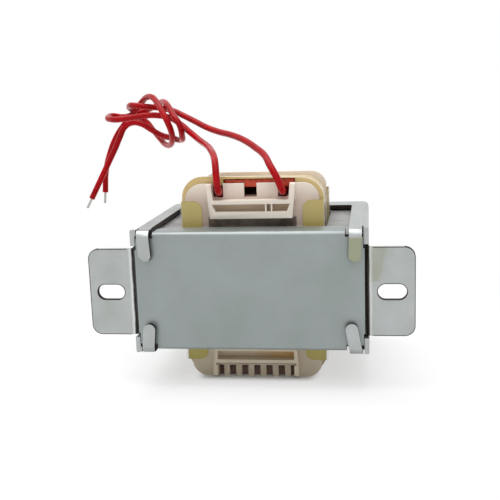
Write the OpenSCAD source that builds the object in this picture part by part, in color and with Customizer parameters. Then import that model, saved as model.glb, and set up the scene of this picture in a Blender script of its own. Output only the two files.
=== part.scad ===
// Laminated chassis transformer with a folded frame and two flying leads
// Origin: midway between the two mounting slots, on the front face of the ears
// X runs along the ears, Y runs back through the frame, Z is up

/* [Core] */
// Length of a lamination along the frame
lam_w = 66; // [62:1:82]
// Depth of an E and its I together
lam_d = 55; // [50:1:68]
// Width of the centre leg
leg_w = 22; // [18:1:24]
// Width of the yokes and outer legs
yoke_w = 11; // [9:0.5:12]
// Height of the whole stack
stack_h = 33; // [24:1:42]
// Number of sheets in the stack
sheets = 66; // [40:2:80]

/* [Frame] */
// Sheet thickness of the folded frame
frame_t = 1.4; // [1:0.1:2]
// Width of each side flange over the stack
side_flange_w = 5.5; // [4:0.1:8]
// Width of the back flange over the stack
back_flange_w = 10.45; // [8:0.05:14]
// Inside radius of the long bends
bend_in_r = 0.6; // [0.2:0.1:0.6]
// Outside radius of the two upright back corners, where the sheet is drawn thinner
back_corner_r = 2; // [1.6:0.1:2.4]
// Inside radius of the two upright back corners
back_corner_in_r = 0.2; // [0.1:0.05:0.25]
// Height of the ears
ear_h = 25.9; // [20:0.1:30]
// Reach of the ears past the side walls
ear_reach = 13; // [12:0.5:18]
// Inside radius of the ear bend
ear_bend_r = 1; // [0.5:0.1:2]
// Radius of the ears' outer corners
ear_corner_r = 3; // [1:0.5:5]
// Width of the mounting slots
slot_w = 4.5; // [3.5:0.1:5.5]
// Length of the mounting slots, end to end
slot_len = 8.2; // [6:0.1:9]
// Distance from a side wall to the middle of its slot
slot_offset = 6.55; // [6.3:0.05:7]
// Width of the crimped tabs
tab_w = 3.6; // [2.5:0.1:3.6]
// Inside radius of the tab bend
tab_bend_r = 0.8; // [0.4:0.1:1.2]

/* [Cover plate] */
// Sheet thickness of the cover plate
plate_t = 1.1; // [0.8:0.1:1.4]
// Reach of the cover plate's flanges over the stack
plate_flange_w = 9; // [6:0.5:10]
// Radius of the flanges' back corners
plate_corner_r = 2.75; // [1:0.25:4]
// Inside radius of the cover plate's bends
plate_bend_in_r = 0.1; // [0.02:0.02:0.1]

/* [Bobbin] */
// Wall of the bobbin's tube
tube_wall = 1.1; // [0.8:0.1:1.6]
// Thickness of the bobbin's two flanges
flange_t = 1.3; // [1:0.1:1.8]
// Height of the flanges above the stack
flange_rise = 13.6; // [12.5:0.1:16]
// Depth of the flanges below the stack
flange_drop = 13.3; // [12.5:0.1:16]
// Radius of the flanges' corners
flange_corner_r = 5; // [2:0.5:7]
// Reach of the lead box and the terminal box in front of the flange
box_reach = 3; // [2:0.5:4]
// Half width of the boxes at their outer ends
box_half_w = 13.25; // [12.5:0.25:15]
// Wall of the boxes' side posts
post_w = 1.5; // [1:0.1:2]
// Width of the two lead notches
lead_notch_w = 3.5; // [2.6:0.1:4]
// Distance between the middles of the lead notches
lead_notch_spacing = 20; // [18:0.5:20]
// Spacing of the seven terminal slots
pin_pitch = 3.8; // [3.4:0.1:4]
// Width of a terminal slot
pin_slot_w = 2; // [1.4:0.1:2.4]

/* [Windings] */
// Build of the primary winding in the windows
primary_build = 3.9; // [2:0.1:4.5]
// Build of the secondary winding above the stack
secondary_build = 3.95; // [2:0.05:4]
// Build of the secondary winding below the stack, where the wire bows out
secondary_drop = 5.95; // [4:0.05:6]
// Thickness of the tape layers
tape_t = 0.35; // [0.2:0.05:0.5]
// Thickness of the window films
film_t = 0.3; // [0.15:0.05:0.4]

/* [Leads] */
// Diameter of a lead over its insulation
lead_d = 2.1; // [1.6:0.1:2.4]
// Diameter of a tinned end
tip_d = 0.9; // [0.6:0.1:1.2]
// Length of a tinned end
tip_len = 4; // [3:0.5:6]
// Diameter of the sleeves over the soldered splices
sleeve_d = 2.2; // [2:0.1:2.4]

/* [Hidden] */

// Facets of a round edge, and of a circle inside a hull
$fn = 48;
hull_fn = 32;
// Length by which a cutting shape overshoots
over = 5;

// Clearances between neighbouring pieces
fit_gap = 0.05;
sheet_gap = 0.02;
joint_gap = 0.04;
flange_gap = 0.45;
tube_gap = 0.15;
wrap_gap = 0.05;
crimp_gap = 0.03;

// Core, from the cover plate's back face
core_front = plate_t + fit_gap;
core_back = core_front + lam_d;
core_half = lam_w / 2;
stack_half = stack_h / 2;
pitch = stack_h / sheets;
window_front = core_front + yoke_w;
window_back = core_back - yoke_w;
window_in = leg_w / 2;
window_out = core_half - yoke_w;

// Frame
wall_in = core_half + fit_gap;
wall_out = wall_in + frame_t;
roof_in = stack_half + flange_gap;
roof_out = roof_in + frame_t;
back_in = core_back + 2 * fit_gap;
back_out = back_in + frame_t;
opening_half = wall_out - side_flange_w;
opening_back = back_out - back_flange_w;
opening_corner_r = 1.2;
ear_bend_x = wall_out + ear_bend_r;
ear_bend_y = frame_t + ear_bend_r;
ear_end = wall_out + ear_reach;
slot_x = wall_out + slot_offset;
relief_w = 0.8;
relief_depth = 3.3;
tab_slit_w = 0.4;
tab_slit_depth = 3.8;
tab_in = opening_half - 0.25;
// Distance by which the left and the right tabs stand further out than that
tab_outset = [0, 0.35];
tab_face_y = -crimp_gap;
tab_bend_y = tab_face_y + tab_bend_r;
tab_bend_z = roof_in - tab_bend_r;
// One row for each tab: side, up or down, lean inwards in degrees, reach below its bend,
// and whether its tip is round
TABS = [[1, 1, 2, 7.2, true], [-1, 1, 3.5, 6.7, false],
    [1, -1, 10, 7.2, true], [-1, -1, 5.5, 6.7, true]];
// Tongues that the side walls end in above and below the ears
tongue_depth = 1.2;
tongue_rise = 0.1;
tongue_corner_r = 0.45;

// Cover plate
plate_gap = 0.03;
plate_roof_in = stack_half + plate_gap;
plate_roof_out = plate_roof_in + plate_t;
plate_flange_half = opening_half - 1.05;
plate_half = wall_in - 0.15;
plate_edge_z = stack_half - 0.7;
shoulder_half = plate_half + 0.4;
shoulder_z = ear_h / 2 - 0.45;

// Bobbin
tube_in_x = window_in + tube_gap;
tube_in_z = stack_half + tube_gap;
tube_out_x = tube_in_x + tube_wall;
tube_out_z = tube_in_z + tube_wall;
bobbin_front = window_front + 0.4;
bobbin_back = window_back - 0.4;
winding_front = bobbin_front + flange_t;
winding_back = bobbin_back - flange_t;
front_flange_half = window_out - 1.8;
back_flange_half = window_out - 1.3;
flange_top = stack_half + flange_rise;
flange_bottom = -stack_half - flange_drop;
back_flange_top = flange_top + 0.3;
box_front = bobbin_front - box_reach;
box_draft = 0.95;
box_foot = stack_half + 3.45;
ledge_top = stack_half + 8.9;
ledge_bottom = ledge_top - 1.2;
recess_bottom = box_foot + 1.95;
recess_half = box_half_w - 2.6;
rib_w = 0.4;
rib_x = [4.3, 6];
notch_floor = ledge_top + 0.6;
middle_notch_w = 3.8;
// Offset of the three notches from the middle of the flange
notch_shift = -0.3;
term_wall_top = stack_half + 3.4;
term_wall_bottom = term_wall_top + 1;
term_ledge_top = term_wall_bottom + 2.7;
term_ledge_bottom = term_ledge_top + 1.3;
term_box_bottom = -flange_bottom - 1.05;
pin_slot_top = term_ledge_bottom + 1.4;

// Windings and tape, half sizes
bulge = 0.2;
end_gap = 0.15;
tape_front = winding_front + end_gap;
tape_back = winding_back - end_gap;
tape_wall = tape_t + 0.05;
coil_front = tape_front + tape_wall + wrap_gap;
coil_back = tape_back;
inner_coil_r = 1.5;
layer_r = inner_coil_r + wrap_gap + tape_t;
outer_coil_r = 4.5;
bowed_coil_r = 6.3;
primary_in = [tube_out_x + wrap_gap, tube_out_z + wrap_gap];
primary_out = primary_in + [primary_build, primary_build + bulge];
layer_in = primary_out + [wrap_gap, wrap_gap];
layer_out = layer_in + [tape_t, tape_t];
film_out = window_out - fit_gap;
film_in = film_out - film_t;
tape_front_half = film_in - 0.2;
tape_taper = 1.05;
tape_back_half = tape_front_half - tape_taper;
secondary_in = layer_out + [wrap_gap, wrap_gap];
secondary_half = tape_back_half - tape_wall - 0.1;
secondary_top = secondary_in.y + secondary_build;
secondary_bottom = -secondary_in.y - secondary_drop;
tape_top_left = flange_top + 2.1;
tape_top_right = flange_top + 1.3;
tape_bottom = flange_bottom + 0.7;
tape_back_top = flange_top - 0.9;
tape_back_bottom = flange_bottom + 1;
tape_corner_r = 6.5;
lip_overlap = 0.6;
lip_opening = [[-8.6, flange_top - 1], [13, flange_top + 1.2]];
pin_opening_half = 3 * pin_pitch + pin_slot_w / 2 + 0.3;

// Window films
film_bottom = -stack_half - 7.9;
film_top = stack_half + 8.4;
film_flap_in = window_out - 6.8;
film_corner_r = 2.5;
film_front = window_front + fit_gap;
film_back = window_back - fit_gap;

// Leads and splices
lead_z = notch_floor + 1.5;
splice_y = 15.5;
splice_z = max(lead_z, secondary_top + sleeve_d / 2 + wrap_gap);
LEAD_LEFT = [[-9.7, 15.5, 27.5], [-9.7, 12, 27.5], [-9.5, 9, 29], [-9.6, 8, 32.5],
    [-10, 9.5, 36], [-11, 13.5, 38], [-13, 20, 39.4], [-15.6, 28, 40.3],
    [-20, 38, 41.6], [-25, 46.5, 44], [-29.5, 52.5, 46.5], [-33.5, 55.5, 48.5],
    [-38.5, 56.5, 49.5], [-43, 56.5, 49.5], [-47.5, 56, 49], [-52, 56, 48.5],
    [-55.5, 58, 48.5], [-58, 62.5, 49], [-57.5, 67, 49.5], [-54.5, 68.5, 49],
    [-51, 68, 49.5], [-48.5, 67, 51.5], [-46, 65, 54], [-41.5, 59, 56],
    [-37, 52, 54], [-34, 47, 50.5], [-32, 45.5, 47], [-31.5, 48, 43.5],
    [-33, 53.5, 40], [-36.5, 60, 39], [-40, 65.5, 41], [-43.5, 69.5, 44],
    [-46.5, 71.5, 47], [-49.5, 72, 48.5], [-53, 71.5, 47.5], [-55.5, 71, 45],
    [-58, 70, 41], [-60.5, 70, 35.5], [-62, 69, 29.5], [-62.5, 68, 21.5]];
LEAD_RIGHT = [[9.4, 15.5, 27.5], [9.4, 12, 27.5], [9.3, 9, 29], [8, 8, 32.5],
    [6.1, 10, 35.5], [4, 15, 38], [0.5, 21, 40], [-4, 27.5, 42],
    [-9, 34, 43.3], [-14, 40, 44.1], [-19, 45.5, 45.4], [-24, 51, 47.3],
    [-29, 56, 49.2], [-34, 60, 51], [-39, 61.5, 52], [-43, 61, 52.5],
    [-47, 61.5, 53], [-50.5, 65.5, 53], [-51.5, 71, 51.5], [-49, 74.5, 50.5],
    [-45, 73.5, 51.5], [-41, 68.5, 53], [-37, 61, 54], [-33.5, 53.5, 52.5],
    [-30.5, 47.5, 49.5], [-28, 44.9, 46.5], [-27.8, 47.2, 43], [-29.5, 53, 41],
    [-34, 58, 41.5], [-38.5, 60.5, 42.5], [-42, 61, 44.5], [-45.5, 61.5, 46.5],
    [-49, 62, 47], [-52, 62.5, 45.5], [-54, 62.5, 42], [-56, 62.5, 38],
    [-58.5, 62.5, 33.5], [-61, 62.5, 29], [-63.5, 62.5, 24.5], [-66, 62.5, 20]];
left_x = LEAD_LEFT[0].x;
right_x = LEAD_RIGHT[0].x;
SLEEVE_LEFT = [[left_x, splice_y, splice_z], [left_x, splice_y + 1.2, splice_z],
    [left_x + 0.2, splice_y + 2.4, splice_z + 1.1], [left_x + 1.8, splice_y + 2.5, splice_z + 2.1],
    [-5, splice_y + 2.4, splice_z + 2.3], [3, splice_y + 2.3, splice_z + 2.3]];
SLEEVE_RIGHT = [[right_x, splice_y, splice_z], [right_x, splice_y + 1, splice_z],
    [right_x + 1.2, splice_y + 2, splice_z + 0.8], [right_x + 1.2, splice_y + 1.2, splice_z + 2],
    [right_x - 1.5, splice_y + 0.1, splice_z + 2.2], [-3, splice_y, splice_z + 2.2]];

// Unit vector
function unit(v) = v / norm(v);

// Direction of a route at point i
function heading(p, i) = unit(p[min(i + 1, len(p) - 1)] - p[max(i - 1, 0)]);

// Side vectors along a route, each turned as little as possible from the one before
function sides(p, i = 0, s = [0, 0, 1]) =
    let (h = heading(p, i), n = unit(s - (s * h) * h))
    i == len(p) - 1 ? [n] : concat([n], sides(p, i + 1, n));

// Round tube along a route, one ring at each point
module tube(p, d, n = 8) {
    s = sides(p, 0, abs(heading(p, 0).z) > 0.9 ? [1, 0, 0] : [0, 0, 1]);
    rings = [for (i = [0:len(p) - 1], k = [0:n - 1])
        let (b = cross(heading(p, i), s[i]), a = 360 * k / n)
        p[i] + d / 2 * (cos(a) * s[i] + sin(a) * b)];
    last = (len(p) - 1) * n;
    walls = [for (i = [0:len(p) - 2], k = [0:n - 1])
        let (a = i * n + k, b = i * n + (k + 1) % n)
        each [[a, a + n, b], [b, a + n, b + n]]];
    polyhedron(rings, concat(walls, [[for (k = [0:n - 1]) k], [for (k = [n - 1:-1:0]) last + k]]));
}

// Outline between two corners, with round corners
module rounded(x0, y0, x1, y1, r) {
    translate([x0 + r, y0]) square([x1 - x0 - 2 * r, y1 - y0]);
    translate([x0, y0 + r]) square([x1 - x0, y1 - y0 - 2 * r]);
    for (x = [x0 + r, x1 - r], y = [y0 + r, y1 - r]) translate([x, y]) circle(r);
}

// Prism of an XZ outline from y0 to y1
module along_y(y0, y1) {
    translate([0, y1, 0]) rotate([90, 0, 0]) linear_extrude(y1 - y0) children();
}

// Prism of a YZ outline from x0 to x1
module along_x(x0, x1) {
    translate([x0, 0, 0]) rotate([90, 0, 90]) linear_extrude(x1 - x0) children();
}

// Prism of an XY outline from z0 to z1
module along_z(z0, z1) {
    translate([0, 0, z0]) linear_extrude(z1 - z0) children();
}

// Box between two corners
module block(a, b) {
    translate(a) cube(b - a);
}

// Quarter of a bent sheet: lower left part of a ring of sheet thickness t
module bend_quarter(inner_r, t) {
    intersection() {
        difference() {
            circle(inner_r + t);
            circle(inner_r);
        }
        translate([-inner_r - t, -inner_r - t]) square(inner_r + t);
    }
}

// Box whose long edges and back corners are rounded as a folded sheet's are
module folded_box(half_w, back, half_h, edge_r, corner_r) {
    front = -3 * over;
    intersection() {
        along_z(-half_h, half_h) rounded(-half_w, front, half_w, back, corner_r);
        along_x(-half_w, half_w) rounded(front, -half_h, back, half_h, edge_r);
        along_y(front, back) rounded(-half_w, -half_h, half_w, half_h, edge_r);
    }
}

// Side walls, back wall and flanges of the frame, still without ears and tabs
module frame_tray() {
    difference() {
        folded_box(wall_out, back_out, roof_out, bend_in_r + frame_t, back_corner_r);
        folded_box(wall_in, back_in, roof_in, bend_in_r, back_corner_in_r);
        block([-wall_out, -4 * over, -roof_out] - [1, 0, 1], [wall_out, 0, roof_out] + [1, 0, 1]);
        along_z(-roof_out - 1, roof_out + 1)
            rounded(-opening_half, -2 * over, opening_half, opening_back, opening_corner_r);
        for (s = [-1, 1]) {
            // Room for the ear bend and the relief cuts above and below it
            along_y(-1, relief_depth)
                translate([s > 0 ? wall_in - 1 : -wall_out - 1, -ear_h / 2 - relief_w])
                square([frame_t + 2, ear_h + 2 * relief_w]);
            // Slit between a tab's root and the end of the bend beside it
            along_z(-roof_out - 1, roof_out + 1)
                translate([s > 0 ? tab_from(s) + tab_w : -tab_from(s) - tab_w - tab_slit_w, -1])
                square([tab_slit_w, tab_slit_depth + 1]);
        }
    }
}

// Section of the right ear, in plan
module ear_section() {
    translate([ear_bend_x, ear_bend_y]) bend_quarter(ear_bend_r, frame_t);
    translate([ear_bend_x, 0]) square([ear_end - ear_bend_x, frame_t]);
    translate([wall_in, ear_bend_y]) square([frame_t, relief_depth - ear_bend_y]);
}

// Right ear with its slot
module ear() {
    difference() {
        intersection() {
            along_z(-ear_h / 2, ear_h / 2) ear_section();
            along_y(-1, relief_depth + 1)
                rounded(wall_in - 2 * over, -ear_h / 2, ear_end, ear_h / 2, ear_corner_r);
        }
        for (x = [-1, 1] * (slot_len - slot_w) / 2)
            translate([slot_x + x, frame_t + 1, 0]) rotate([90, 0, 0])
                cylinder(h = frame_t + 2, d = slot_w);
        block([slot_x - (slot_len - slot_w) / 2, -1, -slot_w / 2],
            [slot_x + (slot_len - slot_w) / 2, frame_t + 1, slot_w / 2]);
    }
}

// Distance from the middle to the inner edge of the tabs on a side
function tab_from(side) = tab_in + tab_outset[side > 0 ? 1 : 0];

// Section of an upper tab, from the flange down over the cover plate
module tab_section(reach) {
    translate([tab_bend_y, tab_bend_z]) mirror([0, 1]) bend_quarter(tab_bend_r, frame_t);
    translate([tab_bend_y, roof_in]) square([tab_slit_depth - tab_bend_y, frame_t]);
    translate([tab_face_y - frame_t, tab_bend_z - reach]) square([frame_t, reach]);
}

// Front outline of an upper tab whose middle is at x
module tab_outline(x, lean, reach, is_round) {
    translate([x, roof_out]) rotate(-lean) {
        length = roof_out - tab_bend_z + reach;
        if (is_round) {
            translate([-tab_w / 2, tab_w / 2 - length]) square([tab_w, length + 1 - tab_w / 2]);
            translate([0, tab_w / 2 - length]) circle(d = tab_w);
        } else {
            polygon([[-tab_w / 2, 1], [-tab_w / 2, 1.1 - length], [-tab_w / 2 + 0.8, -length],
                [tab_w / 2 - 1.3, -length], [tab_w / 2, 1.6 - length], [tab_w / 2, 1]]);
        }
    }
}

// One crimped tab
module tab(side, up, lean, reach, is_round) {
    mirror([side > 0 ? 0 : 1, 0, 0]) mirror([0, 0, up > 0 ? 0 : 1]) intersection() {
        along_x(tab_in - over, wall_in + over) tab_section(reach);
        along_y(-over, over) tab_outline(tab_from(side) + tab_w / 2, lean, reach, is_round);
    }
}

// Front end of a side wall beside the tab, struck square where the long bend ends
module tongue() {
    along_y(0, tongue_depth)
        rounded(wall_in, ear_h / 2 + relief_w, wall_out, roof_out + tongue_rise, tongue_corner_r);
}

// Folded tray frame with ears and tabs, one sheet
module frame() {
    color("#c4c8c8") union() {
        frame_tray();
        ear();
        mirror([1, 0, 0]) ear();
        for (x = [0, 1], z = [0, 1]) mirror([x, 0, 0]) mirror([0, 0, z]) tongue();
        for (t = TABS) tab(t[0], t[1], t[2], t[3], t[4]);
    }
}

// Channel plate that closes the frame's front and clamps the stack
module cover_plate() {
    color("#9aa4a6") union() {
        intersection() {
            along_x(-plate_flange_half, plate_flange_half) difference() {
                rounded(0, -plate_roof_out, 2 * over + plate_flange_w, plate_roof_out,
                    plate_bend_in_r + plate_t);
                rounded(plate_t, -plate_roof_in, 3 * over + plate_flange_w, plate_roof_in,
                    plate_bend_in_r);
            }
            along_z(-plate_roof_out, plate_roof_out)
                rounded(-plate_flange_half, -2 * over, plate_flange_half, plate_flange_w, plate_corner_r);
        }
        block([-plate_half, 0, -plate_edge_z], [plate_half, plate_t, plate_edge_z]);
        block([-shoulder_half, 0, -shoulder_z], [shoulder_half, plate_t, shoulder_z]);
    }
}

// E outline with its yoke at the front
module e_outline() {
    difference() {
        translate([-core_half, core_front])
            square([lam_w, lam_d - yoke_w - joint_gap / 2]);
        for (s = [-1, 1])
            translate([s * (window_in + window_out) / 2, window_front + lam_d / 2])
                square([window_out - window_in, lam_d], center = true);
    }
}

// I outline at the back
module i_outline() {
    translate([-core_half, window_back + joint_gap / 2]) square([lam_w, yoke_w - joint_gap / 2]);
}

// Every second sheet of the stack, from the given first sheet
module sheets_from(first) {
    for (i = [first:2:sheets - 1])
        translate([0, 0, i * pitch - stack_half]) linear_extrude(pitch - sheet_gap) children();
}

// Turns an outline end for end about the middle of the core
module swapped() {
    translate([0, core_front + core_back]) mirror([0, 1]) children();
}

// E sheets that have their yoke at the front
module e_laminations_front() {
    color("#a3a19c") sheets_from(1) e_outline();
}

// E sheets that have their yoke at the back
module e_laminations_back() {
    color("#98968f") sheets_from(0) swapped() e_outline();
}

// I sheets at the front
module i_laminations_front() {
    color("#8f8d88") sheets_from(0) swapped() i_outline();
}

// I sheets at the back
module i_laminations_back() {
    color("#a09e98") sheets_from(1) i_outline();
}

// Outline of the lead box, in front of the upper part of the front flange
module lead_box_outline() {
    inner = box_half_w - post_w;
    difference() {
        polygon([[-box_half_w + box_draft, box_foot], [box_half_w - box_draft, box_foot],
            [box_half_w, flange_top], [-box_half_w, flange_top]]);
        polygon([[-inner + box_draft / 2, ledge_top], [inner - box_draft / 2, ledge_top],
            [inner, flange_top + 1], [-inner, flange_top + 1]]);
        polygon([[-recess_half, recess_bottom], [recess_half, recess_bottom],
            [recess_half + box_draft, ledge_bottom], [-recess_half - box_draft, ledge_bottom]]);
    }
    for (x = rib_x)
        translate([x, recess_bottom]) square([rib_w, ledge_bottom - recess_bottom]);
}

// Outline of the terminal box, in front of the lower part of the front flange
module terminal_box_outline() {
    inner = box_half_w - post_w;
    mirror([0, 1]) difference() {
        polygon([[-box_half_w + box_draft / 2, term_wall_top], [box_half_w - box_draft / 2, term_wall_top],
            [box_half_w, term_box_bottom], [-box_half_w, term_box_bottom]]);
        translate([-inner, term_wall_bottom]) square([2 * inner, term_ledge_top - term_wall_bottom]);
        translate([-inner, term_ledge_bottom]) square([2 * inner, stack_h]);
    }
}

// Front flange, with notches for the leads and slots for terminals
module front_flange() {
    difference() {
        along_y(bobbin_front, winding_front)
            rounded(-front_flange_half, flange_bottom, front_flange_half, flange_top, flange_corner_r);
        for (n = [[-1, lead_notch_w], [0, middle_notch_w], [1, lead_notch_w]])
            translate([notch_shift + n[0] * lead_notch_spacing / 2, 0, 0])
                block([-n[1] / 2, bobbin_front - 1, notch_floor],
                    [n[1] / 2, winding_front + 1, flange_top + 1]);
        for (k = [-3:3])
            block([k * pin_pitch - pin_slot_w / 2, bobbin_front - 1, flange_bottom - 1],
                [k * pin_pitch + pin_slot_w / 2, winding_front + 1, -pin_slot_top]);
    }
}

// Moulded bobbin: tube, two flanges, lead box and terminal box
module bobbin() {
    color("#e6e2d6") difference() {
        union() {
            along_y(bobbin_front, bobbin_back) translate([-tube_out_x, -tube_out_z])
                square([2 * tube_out_x, 2 * tube_out_z]);
            front_flange();
            along_y(winding_back, bobbin_back)
                rounded(-back_flange_half, flange_bottom, back_flange_half, back_flange_top,
                    flange_corner_r);
            along_y(box_front, bobbin_front) lead_box_outline();
            along_y(box_front, bobbin_front) terminal_box_outline();
        }
        block([-tube_in_x, bobbin_front - 1, -tube_in_z], [tube_in_x, bobbin_back + 1, tube_in_z]);
    }
}

// Rectangular ring round the bobbin's tube, from half size a to half size b
module ring(a, b, r) {
    along_y(coil_front, coil_back) difference() {
        rounded(-b.x, -b.y, b.x, b.y, r);
        translate(-a) square(2 * a);
    }
}

// Inner winding of enamelled wire
module primary_winding() {
    color("#8c3d1f") ring(primary_in, primary_out, inner_coil_r);
}

// Insulating layer between the windings
module interwinding_tape() {
    color("#d8b65c") along_y(coil_front, coil_back) difference() {
        rounded(-layer_out.x, -layer_out.y, layer_out.x, layer_out.y, layer_r);
        rounded(-layer_in.x, -layer_in.y, layer_in.x, layer_in.y, inner_coil_r + wrap_gap);
    }
}

// Outer winding of enamelled wire
module secondary_winding() {
    color("#7d3218") along_y(coil_front, coil_back) difference() {
        union() {
            rounded(-secondary_half, -stack_half, secondary_half, secondary_top, outer_coil_r);
            rounded(-secondary_half, secondary_bottom, secondary_half, stack_half, bowed_coil_r);
        }
        rounded(-secondary_in.x, -secondary_in.y, secondary_in.x, secondary_in.y,
            layer_r + wrap_gap);
    }
}

// Slice of the tape's outside at the front, inset by the tape's own thickness or by nothing
module tape_front_slice(y, inset) {
    r = tape_corner_r - inset;
    x = tape_front_half - tape_corner_r;
    along_y(y, y + 0.01) hull($fn = hull_fn) {
        for (p = [[x, tape_top_right - tape_corner_r], [x, tape_bottom + tape_corner_r],
                [-x, tape_bottom + tape_corner_r], [-x, tape_top_left - tape_corner_r]])
            translate(p) circle(r, $fn = hull_fn);
    }
}

// Slice of the tape's outside at the back
module tape_back_slice(y, inset) {
    along_y(y - 0.01, y)
        rounded(-tape_back_half + inset, tape_back_bottom + inset, tape_back_half - inset,
            tape_back_top - inset, tape_corner_r - inset, $fn = hull_fn);
}

// Turns of yellow film tape round the coil, lipped in over the front flange's edge
module outer_tape() {
    color("#d9b64a") difference() {
        hull() {
            tape_front_slice(tape_front, 0);
            tape_back_slice(tape_back, 0);
        }
        hull() {
            tape_front_slice(tape_front + tape_wall, tape_wall);
            tape_back_slice(tape_back + 1, tape_wall);
        }
        along_y(tape_front - 1, tape_front + 1)
            rounded(-front_flange_half + lip_overlap, flange_bottom + 2 * lip_overlap,
                front_flange_half - lip_overlap, flange_top - lip_overlap,
                flange_corner_r - lip_overlap);
        block([lip_opening[0].x, tape_front - 1, lip_opening[0].y],
            [lip_opening[1].x, tape_front + 1, lip_opening[1].y]);
        block([-pin_opening_half, tape_front - 1, tape_bottom - 1],
            [pin_opening_half, tape_front + 1, -pin_slot_top]);
    }
}

// Clear film between the coil and a side leg, with flaps over both flanges' faces
module film() {
    intersection() {
        along_z(film_bottom, film_top) difference() {
            translate([film_flap_in, film_front])
                square([film_out - film_flap_in, film_back - film_front]);
            translate([film_flap_in - 1, film_front + film_t])
                square([film_in - film_flap_in + 1, film_back - film_front - 2 * film_t]);
        }
        along_y(film_front - 1, film_back + 1)
            rounded(film_flap_in, film_bottom, film_out + over, film_top, film_corner_r);
    }
}

// Film on the left
module window_film_left() {
    color("#efe9d2") mirror([1, 0, 0]) film();
}

// Film on the right
module window_film_right() {
    color("#efe9d2") film();
}

// Sleeve over the left lead's splice, laid across the top of the coil
module splice_sleeve_left() {
    color("#7a2a16") tube(SLEEVE_LEFT, sleeve_d);
}

// Sleeve over the right lead's splice
module splice_sleeve_right() {
    color("#7a2a16") tube(SLEEVE_RIGHT, sleeve_d);
}

// Tinned end that runs on from a lead
module tinned_end(p) {
    end = p[len(p) - 1];
    tube([end, end + tip_len * heading(p, len(p) - 1)], tip_d);
}

// Insulated lead from the left notch
module lead_left() {
    color("#c8262c") tube(LEAD_LEFT, lead_d);
}

// Insulated lead from the right notch
module lead_right() {
    color("#c8262c") tube(LEAD_RIGHT, lead_d);
}

// Tinned end of the left lead
module lead_left_tip() {
    color("#c9c9c4") tinned_end(LEAD_LEFT);
}

// Tinned end of the right lead
module lead_right_tip() {
    color("#c9c9c4") tinned_end(LEAD_RIGHT);
}

frame();
cover_plate();
e_laminations_front();
e_laminations_back();
i_laminations_front();
i_laminations_back();
bobbin();
primary_winding();
interwinding_tape();
secondary_winding();
outer_tape();
window_film_left();
window_film_right();
splice_sleeve_left();
splice_sleeve_right();
lead_left();
lead_right();
lead_left_tip();
lead_right_tip();
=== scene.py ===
# %% [markdown]
# # A laminated chassis transformer
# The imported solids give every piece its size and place. This script gives each piece its finish,
# rounds the edges that a press or a mould rounds, and models what solids leave plain: tape,
# sleeving and leads. Everything is in metres, in the frame of the solids: X along the mounting
# ears, Y back, Z up. Values are written in millimetres and multiplied by MM.

import math

import bpy
from mathutils import Matrix, Vector


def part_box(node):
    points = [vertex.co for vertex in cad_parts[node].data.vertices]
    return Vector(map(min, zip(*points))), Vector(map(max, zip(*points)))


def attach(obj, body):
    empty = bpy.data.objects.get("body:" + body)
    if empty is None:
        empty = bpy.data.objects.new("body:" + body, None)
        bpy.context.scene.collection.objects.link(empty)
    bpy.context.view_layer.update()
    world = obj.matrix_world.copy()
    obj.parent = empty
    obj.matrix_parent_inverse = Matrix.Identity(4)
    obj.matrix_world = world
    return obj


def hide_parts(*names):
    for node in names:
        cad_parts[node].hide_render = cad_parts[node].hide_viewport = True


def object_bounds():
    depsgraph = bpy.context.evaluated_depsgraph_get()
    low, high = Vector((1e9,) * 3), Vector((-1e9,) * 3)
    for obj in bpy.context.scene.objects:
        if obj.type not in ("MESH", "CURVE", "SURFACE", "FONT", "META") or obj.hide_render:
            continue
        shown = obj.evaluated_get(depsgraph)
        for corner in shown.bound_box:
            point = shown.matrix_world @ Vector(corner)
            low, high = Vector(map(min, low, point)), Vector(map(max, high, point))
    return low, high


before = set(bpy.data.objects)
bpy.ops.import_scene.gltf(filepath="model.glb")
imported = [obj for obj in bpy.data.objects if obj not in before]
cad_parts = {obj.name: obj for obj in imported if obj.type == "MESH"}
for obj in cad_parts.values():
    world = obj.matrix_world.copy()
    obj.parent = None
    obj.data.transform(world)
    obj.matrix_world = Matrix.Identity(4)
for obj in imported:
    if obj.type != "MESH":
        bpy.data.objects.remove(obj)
cad_box = [list(corner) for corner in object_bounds()]
MM = 0.001
print("solids:", len(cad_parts),
      "box in mm:", [[round(v / MM, 1) for v in c] for c in cad_box])

# %% [markdown]
# ## Camera
# A camera is fixed by where it stands, how it is turned and how long its lens is. It starts looking
# straight down, so it is first raised to the horizon, then turned about the upright axis and rolled
# about its own view.

# %% Camera
CAMERA_AT = (34.9, -237.5, 58.2)
LOOKS_DOWN = 10.82
TURNED_LEFT = 8.17
ROLLED = -1.98
LENS = 61.46
camera_data = bpy.data.cameras.new("camera")
camera_data.lens = LENS
camera = bpy.data.objects.new("camera", camera_data)
bpy.context.scene.collection.objects.link(camera)
camera.matrix_world = (
    Matrix.Translation(Vector(CAMERA_AT) * MM)
    @ Matrix.Rotation(math.radians(TURNED_LEFT), 4, "Z")
    @ Matrix.Rotation(math.radians(90 - LOOKS_DOWN), 4, "X")
    @ Matrix.Rotation(math.radians(ROLLED), 4, "Z")
)
bpy.context.scene.camera = camera
print("camera stands", round(Vector(CAMERA_AT).length), "mm from the slots' midpoint")

# %% [markdown]
# ## Leads
# Two leads of stiff hook-up wire leave the bobbin's notches, run to a loose tangle and end in
# tinned tips. Wire is one line with a thickness, so each lead is a curve through the points of its
# route, with a round bevel.

# %% Leads
LEAD_D = 2.1 * MM
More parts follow.
